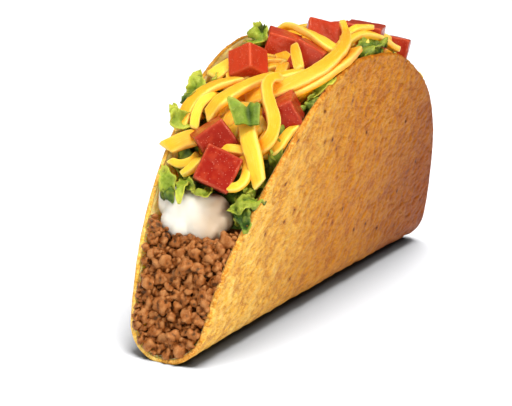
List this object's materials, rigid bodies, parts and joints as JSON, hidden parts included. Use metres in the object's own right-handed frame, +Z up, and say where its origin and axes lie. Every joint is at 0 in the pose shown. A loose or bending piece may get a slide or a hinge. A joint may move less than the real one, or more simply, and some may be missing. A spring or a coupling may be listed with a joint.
{
  "type": "taco",
  "caption": "Crunchy taco: a folded corn tortilla shell filled with ground beef, sour cream, lettuce, grated cheese and diced tomato.",
  "frame": {"origin": "under the middle of the taco's box, on the surface that the two ends of its fold rest on", "axes": "+X along the fold, away from the open end that shows the beef and the sour cream; +Y from wall to wall; +Z up"},
  "size_m": [0.14, 0.035, 0.0715],
  "materials": {
    "corn_shell": "fried corn tortilla, matt and pebbly, golden with brown flecks",
    "beef": "fried ground beef, brown, lightly glossed with fat",
    "sour_cream": "sour cream, warm white, softly glossy",
    "lettuce": "fresh lettuce, light to dark green, waxy",
    "cheese": "grated cheddar, yellow to orange, slightly oily",
    "tomato": "cut tomato flesh, red, wet"
  },
  "bodies": {
    "root": {"shell": "corn_shell", "beef": "beef", "sour_cream": "sour_cream", "lettuce": "lettuce", "lettuce_top": "lettuce", "cheese": "cheese", "tomato_1": "tomato", "tomato_2": "tomato", "tomato_3": "tomato", "tomato_4": "tomato", "tomato_5": "tomato", "tomato_6": "tomato", "tomato_7": "tomato", "tomato_8": "tomato", "tomato_9": "tomato", "tomato_10": "tomato", "tomato_11": "tomato", "tomato_12": "tomato", "tomato_13": "tomato"}
  },
  "joints": []
}
